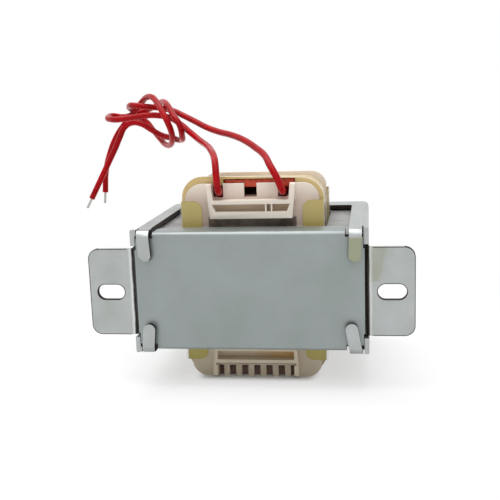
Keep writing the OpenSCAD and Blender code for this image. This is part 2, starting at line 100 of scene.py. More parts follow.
# The middle line of each lead in millimetres, from inside the bobbin's notch to the stripped end
ROUTES = {"lead_left": [
    (-9.7, 15.5, 27.5), (-9.7, 12, 27.5), (-9.5, 9, 29), (-9.6, 8, 32.5),
    (-10, 9.5, 36), (-11, 13.5, 38), (-13, 20, 39.4), (-15.6, 28, 40.3),
    (-20, 38, 41.6), (-25, 46.5, 44), (-29.5, 52.5, 46.5), (-33.5, 55.5, 48.5),
    (-38.5, 56.5, 49.5), (-43, 56.5, 49.5), (-47.5, 56, 49), (-52, 56, 48.5),
    (-55.5, 58, 48.5), (-58, 62.5, 49), (-57.5, 67, 49.5), (-54.5, 68.5, 49),
    (-51, 68, 49.5), (-48.5, 67, 51.5), (-46, 65, 54), (-41.5, 59, 56),
    (-37, 52, 54), (-34, 47, 50.5), (-32, 45.5, 47), (-31.5, 48, 43.5),
    (-33, 53.5, 40), (-36.5, 60, 39), (-40, 65.5, 41), (-43.5, 69.5, 44),
    (-46.5, 71.5, 47), (-49.5, 72, 48.5), (-53, 71.5, 47.5), (-55.5, 71, 45),
    (-58, 70, 41), (-60.5, 70, 35.5), (-62, 69, 29.5), (-62.5, 68, 21.5),
], "lead_right": [
    (9.4, 15.5, 27.5), (9.4, 12, 27.5), (9.3, 9, 29), (8, 8, 32.5),
    (6.1, 10, 35.5), (4, 15, 38), (0.5, 21, 40), (-4, 27.5, 42),
    (-9, 34, 43.3), (-14, 40, 44.1), (-19, 45.5, 45.4), (-24, 51, 47.3),
    (-29, 56, 49.2), (-34, 60, 51), (-39, 61.5, 52), (-43, 61, 52.5),
    (-47, 61.5, 53), (-50.5, 65.5, 53), (-51.5, 71, 51.5), (-49, 74.5, 50.5),
    (-45, 73.5, 51.5), (-41, 68.5, 53), (-37, 61, 54), (-33.5, 53.5, 52.5),
    (-30.5, 47.5, 49.5), (-28, 44.9, 46.5), (-27.8, 47.2, 43), (-29.5, 53, 41),
    (-34, 58, 41.5), (-38.5, 60.5, 42.5), (-42, 61, 44.5), (-45.5, 61.5, 46.5),
    (-49, 62, 47), (-52, 62.5, 45.5), (-54, 62.5, 42), (-56, 62.5, 38),
    (-58.5, 62.5, 33.5), (-61, 62.5, 29), (-63.5, 62.5, 24.5), (-66, 62.5, 20),
]}


def wire(name, points, diameter):
    """A round wire along one smooth open curve through the points, which are in millimetres. Its
    thickness is each point's radius times a depth of one metre, because a curve's box counts the
    radius alone."""
    curve = bpy.data.curves.new(name, "CURVE")
    curve.dimensions = "3D"
    curve.bevel_depth = 1.0
    curve.bevel_resolution = 6
    curve.resolution_u = 10
    curve.use_fill_caps = True
    spline = curve.splines.new("BEZIER")
    spline.bezier_points.add(len(points) - 1)
    for knot, point in zip(spline.bezier_points, points):
        knot.co = Vector(point) * MM
        knot.handle_left_type = knot.handle_right_type = "AUTO"
        knot.radius = diameter / 2
    piece = bpy.data.objects.new(name, curve)
    bpy.context.scene.collection.objects.link(piece)
    return piece


def spline_length(points, steps=12):
    """Length of the smooth curve through the points, in millimetres, close to the wire's own."""
    total = 0
    padded = [2 * Vector(points[0]) - Vector(points[1])] + [Vector(p) for p in points]
    padded.append(2 * Vector(points[-1]) - Vector(points[-2]))
    for a, b, c, d in zip(padded, padded[1:], padded[2:], padded[3:]):
        last = b
        for k in range(1, steps + 1):
            t = k / steps
            here = 0.5 * (
                2 * b + (c - a) * t + (2 * a - 5 * b + 4 * c - d) * t**2
                + (3 * b - a - 3 * c + d) * t**3
            )
            total += (here - last).length
            last = here
    return total


leads = {}
for name, route in ROUTES.items():
    lead = wire(name + "_insulation", route, LEAD_D)
    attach(lead, "root")
    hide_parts(name)
    leads[name] = lead
    print(name, "is", round(spline_length(route)), "mm long")

# %% [markdown]
# ## Floor and light
# A product is easiest to judge on a plain pale floor in soft light. One large lamp above and behind
# on the left gives the flanges their bright tops, a weaker one in front opens the faces. The world
# fills the rest: a studio's ceiling is its brightest part, so the fill falls off towards the
# horizon, and what faces the floor goes dark. Camera, mirror and glass rays see a white world, so
# metal shows a white studio.

# %% Colour and node helpers
def linear(code):
    """Linear colour of an sRGB hex code."""
    parts = [int(code[i:i + 2], 16) / 255 for i in (1, 3, 5)]
    light = tuple(p / 12.92 if p <= 0.04045 else ((p + 0.055) / 1.055) ** 2.4 for p in parts)
    return light + (1.0,)


def add(tree, kind, inputs=None, **settings):
    """Adds a node. Inputs go by name or number, as values or as the sockets that feed them."""
    node = tree.nodes.new(kind)
    for key, value in settings.items():
        setattr(node, key, value)
    for key, value in (inputs or {}).items():
        if isinstance(value, bpy.types.NodeSocket):
            tree.links.new(value, node.inputs[key])
        else:
            node.inputs[key].default_value = value
    return node


def per_mm(size):
    """Texture scale whose features are about this many millimetres across."""
    return 1 / (size * MM)


# %% World
FILL_LOW = 0.08
FILL_HIGH = 0.55
FILL_FULL_AT = 0.8
world = bpy.data.worlds.new("studio")
bpy.context.scene.world = world
world.use_nodes = True
tree = world.node_tree
tree.nodes.clear()
ray = add(tree, "ShaderNodeTexCoord").outputs["Generated"]
height = add(tree, "ShaderNodeSeparateXYZ", {"Vector": ray}).outputs["Z"]
fill = add(tree, "ShaderNodeMapRange",
           {0: height, 1: 0.0, 2: FILL_FULL_AT, 3: FILL_LOW, 4: FILL_HIGH})
path = add(tree, "ShaderNodeLightPath")
seen = path.outputs["Is Camera Ray"]
for ray_kind in ("Is Glossy Ray", "Is Transmission Ray"):
    seen = add(tree, "ShaderNodeMath", {0: seen, 1: path.outputs[ray_kind]},
               operation="MAXIMUM").outputs[0]
level = add(tree, "ShaderNodeMapRange", {0: seen, 3: fill.outputs[0], 4: 1.0})
sky = add(tree, "ShaderNodeBackground", {"Color": (1, 1, 1, 1), "Strength": level.outputs[0]})
add(tree, "ShaderNodeOutputWorld", {"Surface": sky.outputs[0]})


# %% Lamps
# Each lamp: name, direction it comes from, width in degrees, strength
LAMPS = [
    ("key_light", (-0.25, 0.1, 1.0), 55, 1.9),
    ("front_light", (0.25, -1.0, 1.5), 50, 1.1),
]


def far_softbox(name, comes_from, spread, strength):
    """Light from a wide soft patch of sky: its direction, its width in degrees, its strength."""
    data = bpy.data.lights.new(name, "SUN")
    data.angle = math.radians(spread)
    data.energy = strength
    lamp = bpy.data.objects.new(name, data)
    bpy.context.scene.collection.objects.link(lamp)
    lamp.rotation_euler = (-Vector(comes_from)).to_track_quat("-Z", "Y").to_euler()
    return lamp


for lamp in LAMPS:
    far_softbox(*lamp)
print("lamps:", [lamp[0] for lamp in LAMPS])

# %% [markdown]
# The floor is white paper. Right at the bobbin's foot it is plain paper, so that the dark line of
# contact stays. From a few millimetres out, to the camera only, it glows more than half white at
# once, painted light that lifts the object's shadow, and further out it fades into pure white, as a
# paper sweep does in a studio.

# %% Floor
FLOOR_Z = cad_box[0][2]
FLOOR_SIZE = 6000
PAPER_FROM = 5
WHITE_FROM = 140
SHADOW_LIFT_GLOW = 0.58
FOOT_INSET = (6, 2.5, 0)
low, high = (Vector(corner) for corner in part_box("bobbin"))
middle, half = (low + high) / 2, (high - low) / 2 - Vector(FOOT_INSET) * MM
bpy.ops.mesh.primitive_plane_add(size=FLOOR_SIZE * MM, location=(0, 0, FLOOR_Z))
floor = bpy.context.object
floor.name = "floor"
material = bpy.data.materials.new("white_paper_floor")
material.use_nodes = True
tree = material.node_tree
tree.nodes.clear()
# How far a point of the floor is from the bobbin's foot, as from a rectangle
spot = add(tree, "ShaderNodeTexCoord").outputs["Object"]
for operation, value in (("SUBTRACT", (middle.x, middle.y, 0)), ("ABSOLUTE", (0, 0, 0)),
                         ("SUBTRACT", (half.x, half.y, 0)), ("MAXIMUM", (0, 0, 0))):
    spot = add(tree, "ShaderNodeVectorMath", {0: spot, 1: value}, operation=operation).outputs[0]
away = add(tree, "ShaderNodeVectorMath", {0: spot}, operation="LENGTH")
# Painted light: the glow lifts the shadow near the object
near = add(tree, "ShaderNodeMapRange",
           {0: away.outputs["Value"], 1: 0.0, 2: PAPER_FROM * MM, 4: SHADOW_LIFT_GLOW},
           interpolation_type="SMOOTHSTEP")
fade = add(tree, "ShaderNodeMapRange",
           {0: away.outputs["Value"], 1: PAPER_FROM * MM, 2: WHITE_FROM * MM,
            3: near.outputs[0]},
           interpolation_type="SMOOTHSTEP")
path = add(tree, "ShaderNodeLightPath")
swept = add(tree, "ShaderNodeMath", {0: fade.outputs[0], 1: path.outputs["Is Camera Ray"]},
            operation="MULTIPLY")
paper = add(tree, "ShaderNodeBsdfDiffuse", {"Color": linear("#f2f2f2")})
glow = add(tree, "ShaderNodeEmission", {"Color": (1, 1, 1, 1), "Strength": 1.0})
shown = add(tree, "ShaderNodeMixShader",
            {0: swept.outputs[0], 1: paper.outputs[0], 2: glow.outputs[0]})
add(tree, "ShaderNodeOutputMaterial", {"Surface": shown.outputs[0]})
floor.data.materials.append(material)
bpy.context.scene.view_settings.view_transform = "Standard"
print("floor lies", round(-FLOOR_Z / MM, 1), "mm below the slots")

# %% [markdown]
# ## Finishes
# Each finish starts from the real material. Sheet steel is a metal with fine rolling grain and
# faint stains; moulded nylon lets light into its surface; polyester film and wire insulation are
# smooth and glossy. The whole transformer is dipped in varnish once it is built, and the varnish
# stays where it dries slowly: in gaps, and on the rough sheared edges of the sheets.

# %% A bare material
def base_material(name):
    """A material with nothing but its shader and output; returns it, its tree and its shader."""
    made = bpy.data.materials.new(name)
    made.use_nodes = True
    nodes = made.node_tree
    nodes.nodes.clear()
    shader = add(nodes, "ShaderNodeBsdfPrincipled")
    add(nodes, "ShaderNodeOutputMaterial", {"Surface": shader.outputs[0]})
    return made, nodes, shader


# %% Sheet steel
def rolled_steel(name, clean, stained, roughness, metallic,
                 grain_mm=0.25, streak_mm=9.0, stain_mm=11.0):
    """Cold-rolled steel sheet: grain drawn out along X, and soft stains where oil has dried."""
    made, nodes, shader = base_material(name)
    place = add(nodes, "ShaderNodeTexCoord").outputs["Object"]
    drawn = add(nodes, "ShaderNodeMapping",
                {"Vector": place, "Scale": (per_mm(streak_mm), per_mm(grain_mm), per_mm(grain_mm))})
    grain = add(nodes, "ShaderNodeTexNoise",
                {"Vector": drawn.outputs[0], "Scale": 1.0, "Detail": 3.0})
    stains = add(nodes, "ShaderNodeTexNoise",
                 {"Vector": place, "Scale": per_mm(stain_mm), "Detail": 4.0, "Roughness": 0.55})
    edge = add(nodes, "ShaderNodeMapRange", {0: stains.outputs[0], 1: 0.38, 2: 0.66})
    colour = add(nodes, "ShaderNodeMix", {0: edge.outputs[0], 6: linear(clean), 7: linear(stained)},
                 data_type="RGBA")
    rough = add(nodes, "ShaderNodeMapRange",
                {0: grain.outputs[0], 1: 0.3, 2: 0.7, 3: roughness - 0.05, 4: roughness + 0.07})
    bump = add(nodes, "ShaderNodeBump",
               {"Height": grain.outputs[0], "Strength": 0.12, "Distance": 0.02 * MM})
    shader.inputs["Metallic"].default_value = metallic
    nodes.links.new(colour.outputs[2], shader.inputs["Base Color"])
    nodes.links.new(rough.outputs[0], shader.inputs["Roughness"])
    nodes.links.new(bump.outputs[0], shader.inputs["Normal"])
    return made, nodes, shader


# %% [markdown]
# A near-black is laid over a finish wherever a mask says so, like a coat of paint over metal; both
# masks paint shade. One goes by place: painted shade in the groove between the cover plate and the
# ear's bend. The other goes by direction: painted shade on the sides of the core sheets.

# %% Painted shade over metal
# Near-black colour of painted shade
PAINTED_SHADE = linear("#1b140e")


def paint_shade_over(nodes, shader, mask):
    """Lays a near-black painted shade over a metal where the mask is 1. The painted shade isn't
    metal.
    """
    under = shader.inputs["Base Color"].links[0].from_socket
    colour = add(nodes, "ShaderNodeMix", {0: mask, 6: under, 7: PAINTED_SHADE}, data_type="RGBA")
    metal = add(nodes, "ShaderNodeMapRange",
                {0: mask, 3: shader.inputs["Metallic"].default_value, 4: 0.0})
    nodes.links.new(colour.outputs[2], shader.inputs["Base Color"])
    nodes.links.new(metal.outputs[0], shader.inputs["Metallic"])


# %% [markdown]
# The ear's bend carries three things side by side: near-black painted shade in the groove next to
# the cover plate, a strip of painted highlight on the outside of the bend, and plain sheet. The
# values give where each ends, measured outwards from the middle of the frame.

# %% Steel of the frame
BEND_FROM = 33.65
GROOVE_TO = 34.66
GROOVE_SLIM_LEFT = 0.2
HIGHLIGHT_TO = 35.1
EAR_HALF_H = 13.4
EAR_BEND_Y = 3.4
RAGGED = 0.4
GROOVE_SOFT = 0.3
HIGHLIGHT_SOFT = 0.6
TAB_FILM_TO = 15.6
TAB_FILM_SOFT = 0.6
TAB_FILM = 0.9
PATCH_EDGE = 35.95
PATCH_SOFT = 1.0
PATCH_SLANT = -0.25
PATCH_FILM = 0.45
PATCH_LIMITS = (("X", 35, "GREATER_THAN"), ("Z", 3, "GREATER_THAN"), ("Y", 0.3, "LESS_THAN"))
HIGHLIGHT_LEFT = 0.8
HIGHLIGHT_RIGHT = 0.45
FRAME_STEEL, nodes, shader = rolled_steel("bare_steel_frame", "#abafaf", "#a0a4a1", 0.4, 0.85)
place = add(nodes, "ShaderNodeTexCoord").outputs["Object"]
wander = add(nodes, "ShaderNodeTexNoise", {"Vector": place, "Scale": per_mm(3), "Detail": 2.0})
axis = add(nodes, "ShaderNodeSeparateXYZ", {"Vector": place})
across = add(nodes, "ShaderNodeMath", {0: axis.outputs["X"]}, operation="ABSOLUTE")
side = add(nodes, "ShaderNodeMapRange", {0: axis.outputs["X"], 1: -1 * MM, 2: 1 * MM})
slim = add(nodes, "ShaderNodeMath",
           {0: side.outputs[0], 1: -GROOVE_SLIM_LEFT * MM, 2: GROOVE_SLIM_LEFT * MM},
           operation="MULTIPLY_ADD")
outward = add(nodes, "ShaderNodeMath", {0: across.outputs[0], 1: slim.outputs[0]})
ragged = add(nodes, "ShaderNodeMath", {0: wander.outputs[0], 1: RAGGED * MM, 2: outward.outputs[0]},
             operation="MULTIPLY_ADD")
inward = add(nodes, "ShaderNodeMath", {0: across.outputs[0], 1: slim.outputs[0]},
             operation="SUBTRACT")
inner = add(nodes, "ShaderNodeMath", {0: inward.outputs[0], 1: BEND_FROM * MM},
            operation="GREATER_THAN")
upright = add(nodes, "ShaderNodeMath", {0: axis.outputs["Z"]}, operation="ABSOLUTE")
beside = add(nodes, "ShaderNodeMath", {0: upright.outputs[0], 1: EAR_HALF_H * MM},
             operation="LESS_THAN")
front = add(nodes, "ShaderNodeMath", {0: axis.outputs["Y"], 1: EAR_BEND_Y * MM},
            operation="LESS_THAN")
bend = inner
for limit in (beside, front):
    bend = add(nodes, "ShaderNodeMath", {0: bend.outputs[0], 1: limit.outputs[0]},
               operation="MULTIPLY")


def up_to(edge, soft):
    """The ear's bend from the groove out to an edge, both in millimetres, with a soft rim."""
    share = add(nodes, "ShaderNodeMapRange",
                {0: ragged.outputs[0], 1: edge * MM, 2: (edge + soft) * MM, 3: 1.0, 4: 0.0})
    return add(nodes, "ShaderNodeMath", {0: bend.outputs[0], 1: share.outputs[0]},
               operation="MULTIPLY").outputs[0]


# One crimped tab and one patch of the right ear keep a thin greenish film of dried varnish
under = shader.inputs["Base Color"].links[0].from_socket
raised = add(nodes, "ShaderNodeMath", {0: axis.outputs["Y"], 1: -0.05 * MM}, operation="LESS_THAN")
film = add(nodes, "ShaderNodeMapRange",
           {0: axis.outputs["Z"], 1: TAB_FILM_TO * MM, 2: (TAB_FILM_TO + TAB_FILM_SOFT) * MM,
            3: TAB_FILM, 4: 0.0})
for value in (axis.outputs["X"], axis.outputs["Z"]):
    limit = add(nodes, "ShaderNodeMath", {0: value, 1: 0.0}, operation="GREATER_THAN")
    film = add(nodes, "ShaderNodeMath", {0: film.outputs[0], 1: limit.outputs[0]},
               operation="MULTIPLY")
film = add(nodes, "ShaderNodeMath", {0: film.outputs[0], 1: raised.outputs[0]},
           operation="MULTIPLY")
slant = add(nodes, "ShaderNodeMath", {0: axis.outputs["Z"], 1: PATCH_SLANT, 2: axis.outputs["X"]},
            operation="MULTIPLY_ADD")
patch = add(nodes, "ShaderNodeMapRange",
            {0: slant.outputs[0], 1: PATCH_EDGE * MM, 2: (PATCH_EDGE + PATCH_SOFT) * MM,
             3: PATCH_FILM, 4: 0.0})
for value, limit, operation in PATCH_LIMITS:
    limit = add(nodes, "ShaderNodeMath", {0: axis.outputs[value], 1: limit * MM},
                operation=operation)
    patch = add(nodes, "ShaderNodeMath", {0: patch.outputs[0], 1: limit.outputs[0]},
                operation="MULTIPLY")
film = add(nodes, "ShaderNodeMath", {0: film.outputs[0], 1: patch.outputs[0]}, operation="MAXIMUM")
under = add(nodes, "ShaderNodeMix", {0: film.outputs[0], 6: under, 7: linear("#8f9278")},
            data_type="RGBA").outputs[2]
# A painted highlight on the outside of the bend, stronger on the left than on the right
share = add(nodes, "ShaderNodeMapRange", {0: side.outputs[0], 3: HIGHLIGHT_LEFT, 4: HIGHLIGHT_RIGHT})
highlight_mask = add(nodes, "ShaderNodeMath", {0: up_to(HIGHLIGHT_TO, HIGHLIGHT_SOFT), 1: share.outputs[0]},
          operation="MULTIPLY")
bright = add(nodes, "ShaderNodeMix",
             {0: side.outputs[0], 6: linear("#d6d8d9"), 7: linear("#e2e2dc")}, data_type="RGBA")
with_highlight = add(nodes, "ShaderNodeMix", {0: highlight_mask.outputs[0], 6: under, 7: bright.outputs[2]},
             data_type="RGBA")
nodes.links.new(with_highlight.outputs[2], shader.inputs["Base Color"])
# Painted shade in the groove next to the cover plate
paint_shade_over(nodes, shader, up_to(GROOVE_TO, GROOVE_SOFT))

# %% [markdown]
# The cover plate is a duller sheet with few stains. The core's sheets are seen flat on top and as a
# stack of cut edges at the sides; what faces sideways is painted near-black there, as painted
# shade.

# %% Steel of the cover plate and of the core
PLATE_STEEL, nodes, shader = rolled_steel("bare_steel_plate", "#929999", "#8b9391", 0.42, 0.75,
                                          stain_mm=16)
CORE_STEEL, nodes, shader = rolled_steel("core_sheet_shaded_sides", "#9b9b9a", "#858484", 0.42, 0.8,
                                         stain_mm=6)
normal = add(nodes, "ShaderNodeNewGeometry").outputs["Normal"]
faces = add(nodes, "ShaderNodeSeparateXYZ", {"Vector": normal})
level = add(nodes, "ShaderNodeMath", {0: faces.outputs["Z"]}, operation="ABSOLUTE")
sides = add(nodes, "ShaderNodeMapRange", {0: level.outputs[0], 1: 0.3, 2: 0.7, 3: 1.0, 4: 0.0})
# Painted shade on the core's sideways faces
paint_shade_over(nodes, shader, sides.outputs[0])


# %% Sheared edges
def sheared_edge(name):
    """The cut side of a sheet: torn metal that has soaked up varnish and dried dark brown."""
    made, nodes, shader = base_material(name)
    place = add(nodes, "ShaderNodeTexCoord").outputs["Object"]
    soak = add(nodes, "ShaderNodeTexNoise", {"Vector": place, "Scale": per_mm(2.5), "Detail": 3.0})
    edge = add(nodes, "ShaderNodeMapRange", {0: soak.outputs[0], 1: 0.4, 2: 0.65})
    colour = add(nodes, "ShaderNodeMix",
                 {0: edge.outputs[0], 6: linear("#100b08"), 7: linear("#2a1e15")}, data_type="RGBA")
    shader.inputs["Roughness"].default_value = 0.5
    shader.inputs["Specular IOR Level"].default_value = 0.25
    nodes.links.new(colour.outputs[2], shader.inputs["Base Color"])
    return made


SHEARED = sheared_edge("varnished_sheared_edge")


# %% [markdown]
# Natural nylon is a warm white that light enters a little way. Where its wall lies over the
# winding, brown wire shows through it, and painted shade is laid over that: amber in the boxes'
# recesses, partly the wire through the wall and partly painted shade; a painted shadow, nearly
# black, below the lead box; a line of painted shade under the terminal recess; and painted shade on
# the upper flange, darker and pinker towards its foot and paler towards its top. The lower end is
# painted darker and yellower all over, as shade.

# %% Moulded nylon
def moulded_nylon(name):
    """Natural nylon: warm off-white, light enters a little way, skin faintly uneven."""
    made, nodes, shader = base_material(name)
    place = add(nodes, "ShaderNodeTexCoord").outputs["Object"]
    cloud = add(nodes, "ShaderNodeTexNoise", {"Vector": place, "Scale": per_mm(14), "Detail": 2.0})
    plain = add(nodes, "ShaderNodeMix",
                {0: cloud.outputs[0], 6: linear("#ece4d6"), 7: linear("#e4d6ca")}, data_type="RGBA")
    skin = add(nodes, "ShaderNodeTexNoise", {"Vector": place, "Scale": per_mm(0.9), "Detail": 3.0})
    bump = add(nodes, "ShaderNodeBump",
               {"Height": skin.outputs[0], "Strength": 0.12, "Distance": 0.03 * MM})
    shader.inputs["Roughness"].default_value = 0.42
    shader.inputs["IOR"].default_value = 1.53
    shader.inputs["Subsurface Weight"].default_value = 0.15
    shader.inputs["Subsurface Radius"].default_value = (1.0, 0.9, 0.8)
    shader.inputs["Subsurface Scale"].default_value = 1.0 * MM
    nodes.links.new(bump.outputs[0], shader.inputs["Normal"])
    return made, nodes, shader, place, plain.outputs[2]


# %% Stains and painted shade in the nylon
FLANGE_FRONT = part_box("bobbin")[0][1] + 3 * MM
RECESS_HALF_W = 12.4
TERMINAL_RECESS = (-24.7, -20.4)
RECESS_FADE = 0.2
AMBER_BAND = (-2, 11)
# Each row of stain and painted shade: lowest and highest z, fade at the top, reach in x to both
# sides, whether it stays on the flange's own face behind the boxes' fronts, colour, strength
STAINS_AND_SHADE = [
    # Painted shade: the lower end darker and yellower
    (-30.0, -16.0, 4.0, 25.0, False, "#cdbb96", 0.6),
    # Painted shade on the upper flange, darker and pinker towards its foot, partly the wire seen
    # through it
    (17.0, 30.0, 5.5, 25.0, True, "#ad9080", 0.75),
    # The lead box's recess: the wire through the wall, and painted shade
    (21.3, 24.6, 0.5, RECESS_HALF_W, True, "#b39c78", 0.8),
    # The terminal recess: the wire through the wall, and painted shade
    (*TERMINAL_RECESS, 0.5, RECESS_HALF_W, True, "#b8a186", 0.65),
    # Painted shadow below the lead box
    (16.0, 20.3, 0.5, 13.3, True, "#463a28", 0.97),
    # Painted shade in a line under the terminal recess
    (-25.7, -24.6, 0.1, RECESS_HALF_W, False, "#6e5836", 0.95),
]
NYLON, nodes, shader, place, skin = moulded_nylon("natural_nylon")
axis = add(nodes, "ShaderNodeSeparateXYZ", {"Vector": place})
across = add(nodes, "ShaderNodeMath", {0: axis.outputs["X"]}, operation="ABSOLUTE")
sunk = add(nodes, "ShaderNodeMapRange",
           {0: axis.outputs["Y"], 1: FLANGE_FRONT - 0.5 * MM, 2: FLANGE_FRONT - 0.1 * MM})
front = add(nodes, "ShaderNodeMath", {0: axis.outputs["Y"], 1: FLANGE_FRONT + 2 * MM},
            operation="LESS_THAN")
sunk = add(nodes, "ShaderNodeMath", {0: sunk.outputs[0], 1: front.outputs[0]}, operation="MULTIPLY")
mottle = add(nodes, "ShaderNodeTexNoise", {"Vector": place, "Scale": per_mm(5), "Detail": 3.0})
mottle = add(nodes, "ShaderNodeMapRange", {0: mottle.outputs[0], 1: 0.35, 2: 0.7, 3: 0.7, 4: 1.0})
for low_z, high_z, soft, half_w, deep, tint, strength in STAINS_AND_SHADE:
    above = add(nodes, "ShaderNodeMapRange",
                {0: axis.outputs["Z"], 1: low_z * MM, 2: (low_z + 0.5) * MM})
    below = add(nodes, "ShaderNodeMapRange",
                {0: axis.outputs["Z"], 1: (high_z - soft) * MM, 2: high_z * MM,
                 3: strength, 4: 0.0})
    inside = add(nodes, "ShaderNodeMath", {0: across.outputs[0], 1: half_w * MM},
                 operation="LESS_THAN")
    mask = above
    for limit in (below, inside, mottle) + ((sunk,) if deep else ()):
        mask = add(nodes, "ShaderNodeMath", {0: mask.outputs[0], 1: limit.outputs[0]},
                   operation="MULTIPLY")
    skin = add(nodes, "ShaderNodeMix", {0: mask.outputs[0], 6: skin, 7: linear(tint)},
               data_type="RGBA").outputs[2]
# The terminal recess turns from brown to amber towards the right
amber = add(nodes, "ShaderNodeMapRange",
            {0: axis.outputs["X"], 1: AMBER_BAND[0] * MM, 2: AMBER_BAND[1] * MM, 4: 0.85})
bottom = add(nodes, "ShaderNodeMapRange",
             {0: axis.outputs["Z"], 1: TERMINAL_RECESS[0] * MM,
              2: (TERMINAL_RECESS[0] + RECESS_FADE) * MM})
top = add(nodes, "ShaderNodeMath", {0: axis.outputs["Z"], 1: TERMINAL_RECESS[1] * MM},
          operation="LESS_THAN")
inside = add(nodes, "ShaderNodeMath", {0: across.outputs[0], 1: RECESS_HALF_W * MM},
             operation="LESS_THAN")
for limit in (bottom, top, inside, sunk):
    amber = add(nodes, "ShaderNodeMath", {0: amber.outputs[0], 1: limit.outputs[0]},
                operation="MULTIPLY")
skin = add(nodes, "ShaderNodeMix", {0: amber.outputs[0], 6: skin, 7: linear("#c99a3c")},
           data_type="RGBA").outputs[2]
nodes.links.new(skin, shader.inputs["Base Color"])


# %% Film, tape and insulation
def glossy_skin(name, light, dark, roughness, patch_mm,
                ripple_mm=3.0, ripple=0.2, coat=0.0, gloss=0.5):
    """Smooth plastic film or insulation: two close tones in soft patches, and a slight ripple."""
    made, nodes, shader = base_material(name)
    place = add(nodes, "ShaderNodeTexCoord").outputs["Object"]
    patch = add(nodes, "ShaderNodeTexNoise",
                {"Vector": place, "Scale": per_mm(patch_mm), "Detail": 3.0})
    edge = add(nodes, "ShaderNodeMapRange", {0: patch.outputs[0], 1: 0.35, 2: 0.65})
    colour = add(nodes, "ShaderNodeMix", {0: edge.outputs[0], 6: linear(light), 7: linear(dark)},
                 data_type="RGBA")
    wave = add(nodes, "ShaderNodeTexNoise",
               {"Vector": place, "Scale": per_mm(ripple_mm), "Detail": 2.0})
    bump = add(nodes, "ShaderNodeBump",
               {"Height": wave.outputs[0], "Strength": ripple, "Distance": 0.1 * MM})
    shader.inputs["Roughness"].default_value = roughness
    shader.inputs["Specular IOR Level"].default_value = gloss
    shader.inputs["Coat Weight"].default_value = coat
    shader.inputs["Coat Roughness"].default_value = 0.1
    nodes.links.new(colour.outputs[2], shader.inputs["Base Color"])
    nodes.links.new(bump.outputs[0], shader.inputs["Normal"])
    return made


TAPE = glossy_skin("yellow_polyester_tape", "#ccb47a", "#c0a668", 0.3, 12, 3, coat=0.3)
PVC = glossy_skin("red_wire_insulation", "#b00711", "#9d0610", 0.22, 6, ripple=0.0, gloss=0.12)
SLEEVING = glossy_skin("red_brown_sleeving", "#d04c28", "#a23016", 0.5, 1.2, 0.6, ripple=0.3)
ENAMEL = glossy_skin("enamelled_wire", "#8a4a34", "#5c2c1c", 0.35, 4, 0.8)


# %% Window film
WALL_BAND = (21.2, 21.6)
FLAP_COVER = 0.93
WALL_COVER = 0.08
DROP_BAND = (-20, 26)


def window_film(name):
    """Polyester film with baked varnish on it: amber flaps, nearly clear on the window's wall."""
    made, nodes, shader = base_material(name)
    place = add(nodes, "ShaderNodeTexCoord").outputs["Object"]
    axis = add(nodes, "ShaderNodeSeparateXYZ", {"Vector": place})
    across = add(nodes, "ShaderNodeMath", {0: axis.outputs["X"]}, operation="ABSOLUTE")
    wall = add(nodes, "ShaderNodeMapRange",
               {0: across.outputs[0], 1: WALL_BAND[0] * MM, 2: WALL_BAND[1] * MM})
    runs = add(nodes, "ShaderNodeTexNoise", {"Vector": place, "Scale": per_mm(4), "Detail": 3.0})
    drop = add(nodes, "ShaderNodeMath", {0: runs.outputs[0], 1: 3 * MM, 2: axis.outputs["Z"]},
               operation="MULTIPLY_ADD")
    thick = add(nodes, "ShaderNodeMapRange",
                {0: drop.outputs[0], 1: DROP_BAND[0] * MM, 2: DROP_BAND[1] * MM})
    flap = add(nodes, "ShaderNodeMix",
               {0: thick.outputs[0], 6: linear("#c2b257"), 7: linear("#c4b06a")}, data_type="RGBA")
    colour = add(nodes, "ShaderNodeMix",
                 {0: wall.outputs[0], 6: flap.outputs[2], 7: linear("#ecebe4")}, data_type="RGBA")
    cover = add(nodes, "ShaderNodeMapRange", {0: wall.outputs[0], 3: FLAP_COVER, 4: WALL_COVER})
    shader.inputs["Roughness"].default_value = 0.25
    shader.inputs["Coat Weight"].default_value = 0.2
    nodes.links.new(colour.outputs[2], shader.inputs["Base Color"])
    nodes.links.new(cover.outputs[0], shader.inputs["Alpha"])
    return made


FILM = window_film("amber_window_film")


# %% Tinned copper
def tinned_copper(name):
    """Tin over copper strand: a soft grey metal with a satin surface."""
    made, nodes, shader = base_material(name)
    place = add(nodes, "ShaderNodeTexCoord").outputs["Object"]
    dip = add(nodes, "ShaderNodeTexNoise", {"Vector": place, "Scale": per_mm(0.5), "Detail": 2.0})
    colour = add(nodes, "ShaderNodeMix",
                 {0: dip.outputs[0], 6: linear("#d8d8d6"), 7: linear("#a8a6a2")}, data_type="RGBA")
    shader.inputs["Metallic"].default_value = 1.0
    shader.inputs["Roughness"].default_value = 0.35
    nodes.links.new(colour.outputs[2], shader.inputs["Base Color"])
    return made


TIN = tinned_copper("tinned_copper")

# %% [markdown]
# ## Pressed and moulded pieces
# The solids have exact faces and knife-sharp edges. Real sheet is sheared and bent, and a moulding
# follows its tool's small radii, so each such piece is a copy of its solid: triangles merged into
# faces, a small bevel on every sharp edge, and smooth shading across the rest.

# %% Copies with rounded edges
def select_only(piece):
    """Makes one object the only selected and active one."""
    bpy.ops.object.select_all(action="DESELECT")
    piece.select_set(True)
    bpy.context.view_layer.objects.active = piece


def finish_piece(piece, slot, *materials):
    """Gives a piece its materials and body. The slot is not used."""
    piece.data.materials.clear()
    for material in materials:
        piece.data.materials.append(material)
    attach(piece, "root")


